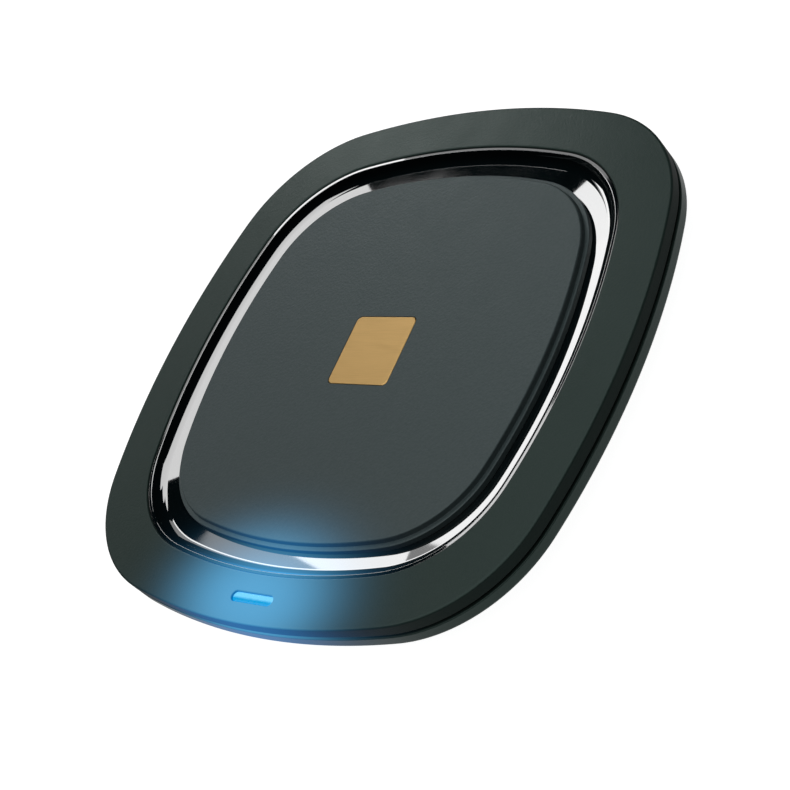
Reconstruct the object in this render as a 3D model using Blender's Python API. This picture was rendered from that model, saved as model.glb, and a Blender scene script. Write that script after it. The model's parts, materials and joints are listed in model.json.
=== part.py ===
"""A wireless charging pad: a rounded square with a sunken gloss ring round a matte centre plate.

Metres, +Z up. The origin is the middle of the pad, on the surface that it stands on. The front
edge, at -Y, has the status light, and the rear edge, at +Y, has the power inlet.
"""

import math

import bmesh
import bpy
from mathutils import Matrix, Vector

MM = 0.001
WELD = 1e-7

# The outline, for a half-width of 1: four wide side arcs, joined smoothly by four corner arcs.
SIDE_ARC = 2.51
DIAGONAL = 1.1314
STEPS = 48
CROWDING = 0.1

# Whole pad, measured from the centre to the middle of a side.
HALF_WIDTH = 49.0 * MM
RIM_INNER = 40.7 * MM
PLATE_EDGE = 34.6 * MM
HEIGHT = 10.0 * MM
RIM_FALL = 0.13 * MM
PLATE_SUNK = 0.25 * MM
GAP = 0.3 * MM
WALL = 1.8 * MM

# Heights in the casing.
SEAM = 7.2 * MM
RIM_UNDERSIDE = 8.65 * MM
CHANNEL_FLOOR = 7.85 * MM
CHANNEL_SLOPE = 0.12
CHANNEL_SHELL = 0.75 * MM
PLATE_UNDERSIDE = 8.45 * MM
BASE_BOTTOM = 1.0 * MM
BASE_FLOOR = 2.5 * MM

# Centre plate.
PLATE_ROUND = 0.25 * MM
LEDGE_Z = 8.8 * MM
LEDGE_REACH = 35.6 * MM
PLATE_FOOT = 7.85 * MM
EMBLEM_SIZE = 12.9 * MM
EMBLEM_CORNER = 1.0 * MM
EMBLEM_THICKNESS = 0.35 * MM
EMBLEM_PROUD = 0.04 * MM
INLAY_GAP = 0.12 * MM

# Status light, in the front of the rim.
LIGHT_Y = -44.74 * MM
LIGHT_SLOT = (9.2 * MM, 2.0 * MM)
LIGHT_SUNK = 0.3 * MM

# Fastenings and feet, on the diagonals.
CORNER_AT = 27.0 * MM
FOOT_RADIUS = 5.0 * MM
FOOT_HEIGHT = 1.25 * MM
SCREW_HEAD = (1.9 * MM, 1.45 * MM, 2.3 * MM)
SCREW_SHANK = 0.95 * MM
SCREW_TIP = 6.3 * MM
SCREW_HOLE = 1.2 * MM
BOSS_RADIUS = 2.6 * MM
BOSS_END = 3.7 * MM
LABEL_RADIUS = 18.0 * MM

# Ring-shaped circuit board.
BOARD_TOP = 5.65 * MM
BOARD_THICKNESS = 1.0 * MM
BOARD_OUTER = 42.0 * MM
BOARD_INNER = 24.6 * MM
BOARD_SCREWS = ((37.0 * MM, 0.0), (-37.0 * MM, 0.0), (0.0, -36.0 * MM))
SOLDER = 0.1 * MM

# Power inlet, in the middle of the rear edge.
INLET_SIZE = (7.5 * MM, 5.6 * MM, 2.5 * MM)
INLET_FRONT = 47.0 * MM
INLET_Z = 7.05 * MM
INLET_WALL = 0.3 * MM
INLET_HOLE = (8.2 * MM, 3.1 * MM)

# Transmit coil and what lies by it.
WIRE_RADIUS = 0.55 * MM
COIL_Z = 6.5 * MM
COIL_CROSSING_Z = 7.75 * MM
COIL_START = (10.9 * MM, math.radians(70))
COIL_PITCH = 1.4 * MM
COIL_TURNS = 8 - 40 / 360
COIL_STEPS = 18
FERRITE_RADIUS = 23.8 * MM
FERRITE_Z = (4.75 * MM, 5.65 * MM)

PARTS = "wireless_charging_pad"
HELPERS = "cutters_and_joined_shapes"


def clear_scene():
    for obj in list(bpy.data.objects):
        bpy.data.objects.remove(obj, do_unlink=True)


def collection_named(name, hidden=False):
    found = bpy.data.collections.get(name)
    if found is None:
        found = bpy.data.collections.new(name)
        bpy.context.scene.collection.children.link(found)
        found.hide_render = hidden
    return found


def finish_of(name, colour, roughness, metallic=0.0, glow=0.0):
    """A Principled material. An existing one of this name is used again."""
    found = bpy.data.materials.get(name)
    if found is None:
        found = bpy.data.materials.new(name)
        found.use_nodes = True
        shader = found.node_tree.nodes["Principled BSDF"]
        shader.inputs["Base Color"].default_value = (*colour, 1.0)
        shader.inputs["Roughness"].default_value = roughness
        shader.inputs["Metallic"].default_value = metallic
        shader.inputs["Emission Color"].default_value = (*colour, 1.0)
        shader.inputs["Emission Strength"].default_value = glow
        found.diffuse_color = (*colour, 1.0)
    return found


def matte_black():
    return finish_of("matte_black_plastic", (0.030, 0.036, 0.036), 0.55)


def gloss_black():
    return finish_of("gloss_black_plastic", (0.004, 0.005, 0.005), 0.05)


def soft_black():
    return finish_of("soft_touch_coating", (0.045, 0.052, 0.053), 0.65)


def gold_foil():
    return finish_of("gold_foil", (0.62, 0.43, 0.20), 0.35, metallic=1.0)


def dark_rubber():
    return finish_of("dark_rubber", (0.020, 0.020, 0.020), 0.85)


def zinc_steel():
    return finish_of("zinc_plated_steel", (0.60, 0.60, 0.58), 0.35, metallic=1.0)


def clear_blue():
    return finish_of("blue_light_pipe", (0.05, 0.45, 0.90), 0.20, glow=2.0)


def label_film():
    return finish_of("label_film", (0.12, 0.12, 0.12), 0.50)


def led_resin():
    return finish_of("led_resin", (0.75, 0.75, 0.65), 0.30)


def board_laminate():
    return finish_of("circuit_board", (0.02, 0.12, 0.06), 0.45)


def chip_resin():
    return finish_of("chip_resin", (0.02, 0.02, 0.02), 0.50)


def capacitor_ceramic():
    return finish_of("capacitor_ceramic", (0.42, 0.28, 0.16), 0.50)


def litz_copper():
    return finish_of("litz_copper", (0.72, 0.36, 0.16), 0.35, metallic=1.0)


def ferrite_grey():
    return finish_of("ferrite", (0.06, 0.06, 0.065), 0.60)


def flex_film():
    return finish_of("polyimide_film", (0.55, 0.28, 0.05), 0.35)


def new_object(name, mesh, finish, at=(0.0, 0.0)):
    """A piece of the pad, in the collection that is named for it."""
    obj = bpy.data.objects.new(name, mesh)
    obj.location = (*at, 0.0)
    mesh.materials.clear()
    mesh.materials.append(finish)
    collection_named(PARTS).objects.link(obj)
    return obj


def helper(name, mesh, group, at=(0.0, 0.0)):
    """A shape that is cut from a piece, or joined to it, by way of its group."""
    obj = bpy.data.objects.new(name, mesh)
    obj.location = (*at, 0.0)
    obj.hide_render = True
    obj.display_type = "WIRE"
    if bpy.data.collections.get(group) is None:
        inner = bpy.data.collections.new(group)
        inner.hide_render = True
        collection_named(HELPERS, hidden=True).children.link(inner)
    bpy.data.collections[group].objects.link(obj)
    return obj


def boolean(obj, operation, group):
    """Cuts the group's shapes from the piece, or joins them to it."""
    modifier = obj.modifiers.new(f"{operation.lower()} {group}", "BOOLEAN")
    modifier.operation = operation
    modifier.operand_type = "COLLECTION"
    modifier.collection = bpy.data.collections[group]
    modifier.solver = "EXACT"


def mesh_from(work, name, smooth_under=math.radians(35)):
    bmesh.ops.recalc_face_normals(work, faces=work.faces)
    mesh = bpy.data.meshes.new(name)
    work.to_mesh(mesh)
    work.free()
    mesh.shade_smooth()
    mesh.set_sharp_from_angle(angle=smooth_under)
    return mesh


def outline_radius(angle):
    """The outline's distance from the centre at this angle, for a half-width of 1."""
    turn = angle % (math.pi / 2)
    turn = min(turn, math.pi / 2 - turn)
    side_centre = 1 - SIDE_ARC
    rest = SIDE_ARC - DIAGONAL
    corner_centre = (side_centre**2 - rest**2) / (2 * side_centre + 2 * math.sqrt(2) * rest)
    corner_arc = DIAGONAL - corner_centre * math.sqrt(2)
    lean = math.atan2(corner_centre, corner_centre - side_centre)
    meeting = math.atan2(SIDE_ARC * math.sin(lean), side_centre + SIDE_ARC * math.cos(lean))
    if turn < meeting:
        middle = side_centre * math.cos(turn)
        return middle + math.sqrt(middle**2 - side_centre**2 + SIDE_ARC**2)
    middle = corner_centre * (math.cos(turn) + math.sin(turn))
    return middle + math.sqrt(middle**2 - 2 * corner_centre**2 + corner_arc**2)


def drawn_to_outline(point):
    """Moves a turned point out to the pad's outline, with the points closer together at the corners."""
    angle = math.atan2(point.y, point.x)
    angle += CROWDING * math.sin(4 * angle)
    radius = math.hypot(point.x, point.y) * outline_radius(angle)
    return Vector((radius * math.cos(angle), radius * math.sin(angle), point.z))


def arc(centre, radius, first, last, count):
    """Points (radius, height) on a round stretch of a profile, between two angles in degrees."""
    points = []
    for step in range(count + 1):
        angle = math.radians(first + (last - first) * step / count)
        points.append((centre[0] + radius * math.cos(angle), centre[1] + radius * math.sin(angle)))
    return points


def turned(name, profile, steps=STEPS, squared=True):
    """A profile of (radius, height) points spun round Z, and drawn out to the pad's outline."""
    work = bmesh.new()
    points = [work.verts.new((radius, 0.0, height)) for radius, height in profile]
    edges = [work.edges.new(pair) for pair in zip(points, points[1:])]
    if profile[0][0] > 0:
        edges.append(work.edges.new((points[-1], points[0])))
    bmesh.ops.spin(
        work, geom=points + edges, axis=(0, 0, 1), cent=(0, 0, 0), steps=steps, angle=2 * math.pi
    )
    bmesh.ops.remove_doubles(work, verts=work.verts, dist=WELD)
    if squared:
        for vert in work.verts:
            vert.co = drawn_to_outline(vert.co)
    return mesh_from(work, name)


def cylinder(name, radius, low, high, sides=24):
    return turned(name, [(0, low), (radius, low), (radius, high), (0, high)], sides, squared=False)


def block(name, size, centre, round_edges=0.0, angle=0.0):
    """A box of this size about its centre, turned about its own upright axis."""
    work = bmesh.new()
    bmesh.ops.create_cube(work, size=1.0, matrix=Matrix.Diagonal((*size, 1.0)))
    if round_edges:
        bmesh.ops.bevel(
            work, geom=work.edges[:], offset=round_edges, segments=1, affect="EDGES"
        )
    place = Matrix.Translation(centre) @ Matrix.Rotation(angle, 4, "Z")
    bmesh.ops.transform(work, matrix=place, verts=work.verts)
    return mesh_from(work, name)


def pill(name, length, width, low, high, centre=(0.0, 0.0), sides=16):
    """An upright prism with round ends: a cylinder parted along X."""
    work = bmesh.new()
    bmesh.ops.create_cone(
        work,
        cap_ends=True,
        segments=sides,
        radius1=width / 2,
        radius2=width / 2,
        depth=high - low,
        matrix=Matrix.Rotation(math.pi / sides, 4, "Z"),
    )
    for vert in work.verts:
        vert.co.x += math.copysign((length - width) / 2, vert.co.x)
        vert.co += Vector((*centre, (low + high) / 2))
    return mesh_from(work, name)


def rounded_tile(name, size, corner, low, high):
    """A square tile with round corners."""
    work = bmesh.new()
    bmesh.ops.create_cube(work, size=1.0, matrix=Matrix.Diagonal((size, size, high - low, 1.0)))
    upright = [edge for edge in work.edges if abs(edge.verts[0].co.z - edge.verts[1].co.z) > WELD]
    bmesh.ops.bevel(work, geom=upright, offset=corner, segments=4, profile=0.5, affect="EDGES")
    bmesh.ops.translate(work, vec=(0.0, 0.0, (low + high) / 2), verts=work.verts)
    return mesh_from(work, name)


def corners():
    """The four places on the diagonals where a foot covers a case screw."""
    return [(x * CORNER_AT, y * CORNER_AT) for x, y in ((1, 1), (-1, 1), (-1, -1), (1, -1))]


def rim_cover():
    """The matte top casing: a flat rim with a side wall, open in the middle."""
    edge = 0.3 * MM
    low = SEAM + GAP / 2
    top_outer = HEIGHT - RIM_FALL
    profile = [(HALF_WIDTH, low)]
    profile += arc((HALF_WIDTH - edge, top_outer - edge), edge, 0, 90, 3)
    profile += arc((RIM_INNER + edge, HEIGHT - edge), edge, 90, 180, 3)
    profile += [
        (RIM_INNER, RIM_UNDERSIDE),
        (HALF_WIDTH - WALL, RIM_UNDERSIDE),
        (HALF_WIDTH - WALL, low),
    ]
    rim = new_object("rim_cover", turned("rim_cover", profile), matte_black())
    slot = pill("light_slot", *LIGHT_SLOT, RIM_UNDERSIDE - GAP, HEIGHT + GAP, (0.0, LIGHT_Y))
    helper("light_slot", slot, "cut_from_rim")
    helper("inlet_hole_above", inlet_hole(), "cut_from_rim")
    boolean(rim, "DIFFERENCE", "cut_from_rim")


def inlet_hole():
    """The opening that the plug passes through, across the seam of the casing."""
    depth = 6.0 * MM
    work = bmesh.new()
    size = (INLET_HOLE[0], depth, INLET_HOLE[1])
    bmesh.ops.create_cube(work, size=1.0, matrix=Matrix.Diagonal((*size, 1.0)))
    along = [edge for edge in work.edges if abs(edge.verts[0].co.y - edge.verts[1].co.y) > WELD]
    bmesh.ops.bevel(work, geom=along, offset=0.8 * MM, segments=2, affect="EDGES", profile=0.5)
    centre = (0.0, HALF_WIDTH + MM - depth / 2 + MM, INLET_Z)
    bmesh.ops.translate(work, vec=centre, verts=work.verts)
    return mesh_from(work, "inlet_hole")


def floor_height(radius):
    """The height of the gloss channel's floor at this distance from the centre."""
    return CHANNEL_FLOOR + (radius - LEDGE_REACH) * CHANNEL_SLOPE


def gloss_channel():
    """The gloss tray that shows as a sunken ring, with four bosses for the case screws.

    Its floor rises gently from the plate's seat outwards, and turns up into a leaning lip inside the rim.
    """
    inner = 31.5 * MM
    seat_wall = LEDGE_REACH + 0.4 * MM
    seat_floor = PLATE_FOOT - GAP
    turn_up, turn_r, lean = 2.0 * MM, 38.0 * MM, 60
    lip = RIM_INNER - GAP
    lip_inner, lip_top = lip - 0.35 * MM, 9.7 * MM
    slope = math.degrees(math.atan(CHANNEL_SLOPE))
    turn_z = floor_height(turn_r) + turn_up / math.cos(math.radians(slope))
    flange, flange_top = 42.6 * MM, RIM_UNDERSIDE - GAP
    shell_bottom = seat_floor - CHANNEL_SHELL
    profile = [
        (inner, shell_bottom),
        (inner, seat_floor),
        (seat_wall, seat_floor),
        (seat_wall, floor_height(seat_wall)),
    ]
    profile += arc((turn_r, turn_z), turn_up, slope - 90, lean - 90, 5)
    profile += [
        (lip_inner, lip_top),
        (lip, lip_top),
        (lip, flange_top),
        (flange, flange_top),
        (flange, flange_top - CHANNEL_SHELL),
    ]
    tray = new_object("gloss_channel", turned("gloss_channel", profile), gloss_black())
    boss = cylinder("boss", BOSS_RADIUS, BOSS_END, shell_bottom + 0.4 * MM, 16)
    bore = cylinder("boss_bore", SCREW_HOLE, BOSS_END - MM, shell_bottom, 12)
    for number, place in enumerate(corners(), 1):
        helper(f"boss_{number}", boss, "joined_to_channel", place)
        helper(f"boss_bore_{number}", bore, "cut_from_channel", place)
    room = block(
        "inlet_room",
        (INLET_SIZE[0] + 2 * GAP, 6.0 * MM, 3.0 * MM),
        (0.0, 44.0 * MM, INLET_Z + 0.5 * MM),
    )
    helper("inlet_room", room, "cut_from_channel")
    boolean(tray, "UNION", "joined_to_channel")
    boolean(tray, "DIFFERENCE", "cut_from_channel")


def centre_plate():
    """The matte plate that the phone lies on, with a low step round its foot."""
    top = HEIGHT - PLATE_SUNK
    step_round = 0.12 * MM
    profile = [(0, PLATE_UNDERSIDE), (32.5 * MM, PLATE_UNDERSIDE), (32.5 * MM, PLATE_FOOT)]
    profile += [(LEDGE_REACH, PLATE_FOOT)]
    profile += arc((LEDGE_REACH - step_round, LEDGE_Z - step_round), step_round, 0, 90, 2)
    profile += [(PLATE_EDGE + 0.3 * MM, LEDGE_Z)]
    profile += arc((PLATE_EDGE - 0.05 * MM, top - PLATE_ROUND), PLATE_ROUND, 0, 90, 3)
    profile += [(0, top)]
    plate = new_object("centre_plate", turned("centre_plate", profile), soft_black())
    floor = top - EMBLEM_THICKNESS + EMBLEM_PROUD - INLAY_GAP
    size = EMBLEM_SIZE + 2 * INLAY_GAP
    pocket = rounded_tile("emblem_pocket", size, EMBLEM_CORNER, floor, top + MM)
    helper("emblem_pocket", pocket, "cut_from_plate")
    boolean(plate, "DIFFERENCE", "cut_from_plate")


def emblem_tile():
    """A plain gold tile let into the middle of the plate."""
    high = HEIGHT - PLATE_SUNK + EMBLEM_PROUD
    tile = rounded_tile("emblem", EMBLEM_SIZE, EMBLEM_CORNER, high - EMBLEM_THICKNESS, high)
    new_object("emblem_tile", tile, gold_foil())


def bottom_cover():
    """The lower casing, with a rib under the ferrite, posts for the board and seats for the screws."""
    outer = HALF_WIDTH
    seam = SEAM - GAP / 2
    spigot_outer = HALF_WIDTH - WALL - GAP
    spigot_inner = spigot_outer - 0.65 * MM
    spigot_top = SEAM + 0.4 * MM
    turn_under = 0.7 * MM
    lip_bottom = 5.3 * MM
    rib = (18.0 * MM, 19.5 * MM, FERRITE_Z[0] - GAP)
    profile = [(0, BASE_BOTTOM)]
    profile += arc((39.0 * MM, 7.0 * MM), 6.0 * MM, -90, -64, 3)
    profile += arc((outer - turn_under, lip_bottom), turn_under, -60, 0, 3)
    profile += [
        (outer, seam),
        (spigot_outer, seam),
        (spigot_outer, spigot_top),
        (spigot_inner, spigot_top),
        (spigot_inner, 5.7 * MM),
        (41.6 * MM, 3.5 * MM),
        (39.4 * MM, BASE_FLOOR),
        (rib[1], BASE_FLOOR),
        (rib[1], rib[2]),
        (rib[0], rib[2]),
        (rib[0], BASE_FLOOR),
        (0, BASE_FLOOR),
    ]
    base = new_object("bottom_cover", turned("bottom_cover", profile), matte_black())
    seat = cylinder("screw_seat", 3.6 * MM, 2.0 * MM, BOSS_END - GAP, 16)
    recess, head = FOOT_RADIUS + 0.2 * MM, SCREW_HEAD[0] + GAP
    steps = [
        (0, 0),
        (recess, 0),
        (recess, FOOT_HEIGHT + 0.1 * MM),
        (head, FOOT_HEIGHT + 0.1 * MM),
        (head, SCREW_HEAD[2] + 0.1 * MM),
        (SCREW_HOLE, SCREW_HEAD[2] + 0.1 * MM),
        (SCREW_HOLE, 4.0 * MM),
        (0, 4.0 * MM),
    ]
    recesses = turned("foot_recess", steps, 24, squared=False)
    for number, place in enumerate(corners(), 1):
        helper(f"screw_seat_{number}", seat, "joined_to_base", place)
        helper(f"foot_recess_{number}", recesses, "cut_from_base", place)
    board_under = BOARD_TOP - BOARD_THICKNESS
    post = cylinder("board_post", 2.4 * MM, 2.0 * MM, board_under - 0.1 * MM, 16)
    bore = cylinder("post_bore", MM, 3.0 * MM, 6.0 * MM, 12)
    for number, place in enumerate(BOARD_SCREWS, 1):
        helper(f"board_post_{number}", post, "joined_to_base", place)
        helper(f"post_bore_{number}", bore, "cut_from_base", place)
    label_pocket = cylinder("label_pocket", LABEL_RADIUS + GAP, 0.0, BASE_BOTTOM + 0.25 * MM, 48)
    helper("label_pocket", label_pocket, "cut_from_base")
    helper("inlet_hole_below", inlet_hole(), "cut_from_base")
    board_room = 4.35 * MM
    inlet_pocket = block(
        "inlet_pocket",
        (16.6 * MM, 6.3 * MM, 5.0 * MM),
        (0.0, 43.65 * MM, board_room + 2.5 * MM),
    )
    light_pocket = block(
        "light_pocket",
        (11.6 * MM, 5.0 * MM, 1.6 * MM),
        (0.0, -44.0 * MM, board_room + 0.8 * MM),
    )
    helper("inlet_pocket", inlet_pocket, "cut_from_base")
    helper("light_pocket", light_pocket, "cut_from_base")
    boolean(base, "UNION", "joined_to_base")
    boolean(base, "DIFFERENCE", "cut_from_base")


def feet():
    """Four round rubber feet, each let into the base over a screw."""
    edge = 0.3 * MM
    profile = [(0, 0), (FOOT_RADIUS - edge, 0), (FOOT_RADIUS, edge)]
    profile += [(FOOT_RADIUS, FOOT_HEIGHT), (0, FOOT_HEIGHT)]
    mesh = turned("foot", profile, 24, squared=False)
    for number, place in enumerate(corners(), 1):
        new_object(f"foot_{number}", mesh, dark_rubber(), place)


def case_screws():
    """Four pan-head screws, driven up from under the feet."""
    radius, low, high = SCREW_HEAD
    drive_radius, drive_depth = 0.75 * MM, 0.45 * MM
    profile = [
        (0, low + drive_depth),
        (drive_radius, low + drive_depth),
        (drive_radius, low),
        (radius - 0.3 * MM, low),
        (radius, low + 0.3 * MM),
        (radius, high),
        (SCREW_SHANK, high),
        (SCREW_SHANK, SCREW_TIP - 0.6 * MM),
        (0, SCREW_TIP),
    ]
    mesh = turned("case_screw", profile, 12, squared=False)
    for number, place in enumerate(corners(), 1):
        new_object(f"case_screw_{number}", mesh, zinc_steel(), place)


def rating_label():
    """A blank round label in a shallow pocket of the underside."""
    low = BASE_BOTTOM + 0.05 * MM
    mesh = cylinder("rating_label", LABEL_RADIUS, low, low + 0.12 * MM, 48)
    new_object("rating_label", mesh, label_film())


def main_board():
    """A ring of circuit board round the coil, with a tongue for the inlet and one for the light."""
    low = BOARD_TOP - BOARD_THICKNESS
    profile = [
        (BOARD_INNER, low),
        (BOARD_OUTER, low),
        (BOARD_OUTER, BOARD_TOP),
        (BOARD_INNER, BOARD_TOP),
    ]
    board = new_object("main_board", turned("main_board", profile), board_laminate())
    middle = (low + BOARD_TOP) / 2
    overlap = 3.0 * MM
    for name, width, reach in (
        ("inlet_tongue", 15.0 * MM, 46.0 * MM),
        ("light_tongue", 10.0 * MM, -46.1 * MM),
    ):
        start = math.copysign(BOARD_OUTER - overlap, reach)
        size = (width, abs(reach - start), BOARD_THICKNESS)
        tongue = block(name, size, (0.0, (start + reach) / 2, middle))
        helper(name, tongue, "joined_to_board")
    hole = cylinder("boss_hole", BOSS_RADIUS + GAP, low - MM, BOARD_TOP + MM, 16)
    for number, place in enumerate(corners(), 1):
        helper(f"boss_hole_{number}", hole, "cut_from_board", place)
    screw_hole = cylinder("board_screw_hole", 1.1 * MM, low - MM, BOARD_TOP + MM, 12)
    for number, place in enumerate(BOARD_SCREWS, 1):
        helper(f"board_screw_hole_{number}", screw_hole, "cut_from_board", place)
    boolean(board, "UNION", "joined_to_board")
    boolean(board, "DIFFERENCE", "cut_from_board")


def board_screws():
    low = BOARD_TOP + SOLDER
    profile = [
        (0, 3.3 * MM),
        (0.75 * MM, 3.8 * MM),
        (0.75 * MM, low),
        (1.7 * MM, low),
        (1.7 * MM, low + 0.4 * MM),
        (1.2 * MM, low + 0.7 * MM),
        (0, low + 0.7 * MM),
    ]
    mesh = turned("board_screw", profile, 12, squared=False)
    for number, place in enumerate(BOARD_SCREWS, 1):
        new_object(f"board_screw_{number}", mesh, zinc_steel(), place)


def power_inlet():
    """The inlet's folded metal shell, open to the rear, and the contact tongue inside it."""
    width, depth, height = INLET_SIZE
    middle_y = INLET_FRONT - depth / 2
    shell_mesh = block("usb_shell", INLET_SIZE, (0.0, middle_y, INLET_Z), 0.5 * MM)
    shell = new_object("usb_shell", shell_mesh, zinc_steel())
    inside = (width - 2 * INLET_WALL, depth, height - 2 * INLET_WALL)
    mouth = block("inlet_mouth", inside, (0.0, middle_y + 0.5 * MM, INLET_Z), 0.35 * MM)
    helper("inlet_mouth", mouth, "cut_from_inlet")
    boolean(shell, "DIFFERENCE", "cut_from_inlet")
    tongue = block(
        "usb_tongue", (3.7 * MM, 4.0 * MM, 0.6 * MM), (0.0, INLET_FRONT - 2.8 * MM, INLET_Z)
    )
    new_object("usb_tongue", tongue, chip_resin())


def on_board(name, size, radius, degrees, finish):
    """A component standing on the board, square to a radius at this angle from +X."""
    angle = math.radians(degrees)
    centre = (
        radius * math.cos(angle),
        radius * math.sin(angle),
        BOARD_TOP + SOLDER + size[2] / 2,
    )
    new_object(name, block(name, size, centre, 0.1 * MM, angle), finish)


def components():
    """The driver circuit: the tall pieces stand on the inner ring, where the plate leaves room."""
    thin = 0.85 * MM
    on_board("charge_controller", (5.0 * MM, 5.0 * MM, thin), 36.5 * MM, 68, chip_resin())
    on_board("voltage_regulator", (3.0 * MM, 3.0 * MM, thin), 36.5 * MM, 108, chip_resin())
    on_board("bridge_mosfet_1", (3.3 * MM, 3.3 * MM, thin), 36.0 * MM, 22, chip_resin())
    on_board("bridge_mosfet_2", (3.3 * MM, 3.3 * MM, thin), 36.0 * MM, 14, chip_resin())
    on_board("current_resistor", (1.6 * MM, 3.2 * MM, 0.6 * MM), 36.0 * MM, 31, chip_resin())
    on_board("filter_inductor", (5.0 * MM, 5.0 * MM, 2.0 * MM), 28.3 * MM, 112, ferrite_grey())
    on_board(
        "input_capacitor", (1.6 * MM, 3.2 * MM, 1.6 * MM), 28.0 * MM, 128, capacitor_ceramic()
    )
    for number in range(4):
        size = (2.5 * MM, 3.2 * MM, 1.6 * MM)
        degrees = 10 * number
        on_board(
            f"resonant_capacitor_{number + 1}", size, 28.0 * MM, degrees, capacitor_ceramic()
        )


def status_light():
    """The light-emitting diode, its foam gasket and the pipe that brings its light to the rim."""
    width, depth, height = 3.2 * MM, 1.6 * MM, 0.8 * MM
    on_board("status_led", (depth, width, height), -LIGHT_Y, -90, led_resin())
    low = BOARD_TOP + SOLDER
    place = (0.0, LIGHT_Y)
    ring = pill("light_gasket", 6.0 * MM, 2.8 * MM, low, 7.5 * MM, place)
    gasket = new_object("light_gasket", ring, dark_rubber())
    hole = pill("gasket_hole", 4.6 * MM, 1.9 * MM, low - MM, 8.5 * MM, place)
    helper("gasket_hole", hole, "cut_from_gasket")
    boolean(gasket, "DIFFERENCE", "cut_from_gasket")
    fit = 0.15 * MM
    top = HEIGHT - LIGHT_SUNK - RIM_FALL / 2
    length, across = LIGHT_SLOT[0] - 2 * fit, LIGHT_SLOT[1] - 2 * fit
    window = pill("light_pipe", length, across, 8.0 * MM, top, place)
    pipe = new_object("light_pipe", window, clear_blue())
    flange = pill("pipe_flange", 10.6 * MM, 3.0 * MM, 7.75 * MM, RIM_UNDERSIDE - GAP, place)
    stem = pill("pipe_stem", 4.0 * MM, 1.7 * MM, 6.75 * MM, 8.0 * MM, place)
    helper("pipe_flange", flange, "joined_to_pipe")
    helper("pipe_stem", stem, "joined_to_pipe")
    boolean(pipe, "UNION", "joined_to_pipe")


def coil_route():
    """The one wire of the coil: in over the turns, down to the middle, and out along the spiral."""
    radius, start = COIL_START
    over = COIL_CROSSING_Z
    inward = [
        (5.0, 28.0, 6.4),
        (5.0, 26.5, 6.8),
        (5.0, 25.0, 7.4),
        (5.0, 23.5, 7.75),
        (5.1, 10.0, 7.75),
        (5.3, 8.4, 7.55),
        (5.9, 7.3, 7.15),
        (6.7, 7.2, 6.75),
        (6.9, 7.9, 6.5),
        (5.6, 9.2, 6.5),
    ]
    route = [Vector(point) * MM for point in inward]
    route[3].z = route[4].z = over
    count = round(COIL_TURNS * COIL_STEPS)
    for step in range(count + 1):
        turns = COIL_TURNS * step / count
        angle = start + 2 * math.pi * turns
        reach = radius + COIL_PITCH * turns
        route.append(Vector((reach * math.cos(angle), reach * math.sin(angle), COIL_Z)))
    outward = [(14.6, 19.0, 6.5), (12.6, 22.5, 6.5), (11.5, 28.0, 6.4)]
    route += [Vector(point) * MM for point in outward]
    return route


def transmit_coil():
    """A flat spiral of Litz wire, with its two ends led out over the board."""
    curve = bpy.data.curves.new("transmit_coil", "CURVE")
    curve.dimensions = "3D"
    curve.bevel_depth = WIRE_RADIUS
    curve.bevel_resolution = 2
    curve.use_fill_caps = True
    route = coil_route()
    spline = curve.splines.new("POLY")
    spline.points.add(len(route) - 1)
    for place, point in zip(route, spline.points):
        point.co = (*place, 1.0)
    curve.materials.append(litz_copper())
    coil = bpy.data.objects.new("transmit_coil", curve)
    collection_named(PARTS).objects.link(coil)


def ferrite_sheet():
    mesh = cylinder("ferrite_sheet", FERRITE_RADIUS, *FERRITE_Z, 48)
    new_object("ferrite_sheet", mesh, ferrite_grey())


def thermistor_strip():
    """A temperature sensor against the plate, on a flexible strip that folds down to the board."""
    film = 0.2 * MM
    high = PLATE_UNDERSIDE - 0.1 * MM
    bend = 27.2 * MM
    across = -5.0 * MM
    width = 2.0 * MM
    side = [
        (-MM, high),
        (bend, high),
        (bend, BOARD_TOP + SOLDER),
        (bend - film, BOARD_TOP + SOLDER),
        (bend - film, high - film),
        (1.2 * MM, high - film),
        (1.2 * MM, high - 0.8 * MM),
        (-MM, high - 0.8 * MM),
    ]
    work = bmesh.new()
    face = work.faces.new([work.verts.new((across - width / 2, y, z)) for y, z in side])
    made = bmesh.ops.extrude_face_region(work, geom=[face])
    moved = [item for item in made["geom"] if isinstance(item, bmesh.types.BMVert)]
    bmesh.ops.translate(work, vec=(width, 0.0, 0.0), verts=moved)
    mesh = mesh_from(work, "thermistor_strip")
    new_object("thermistor_strip", mesh, flex_film())


def build():
    clear_scene()
    rim_cover()
    gloss_channel()
    centre_plate()
    emblem_tile()
    bottom_cover()
    feet()
    case_screws()
    rating_label()
    main_board()
    board_screws()
    power_inlet()
    components()
    status_light()
    transmit_coil()
    ferrite_sheet()
    thermistor_strip()


build()
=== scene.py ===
import json
import math

import bmesh
import bpy
from mathutils import Matrix, Vector

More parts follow.
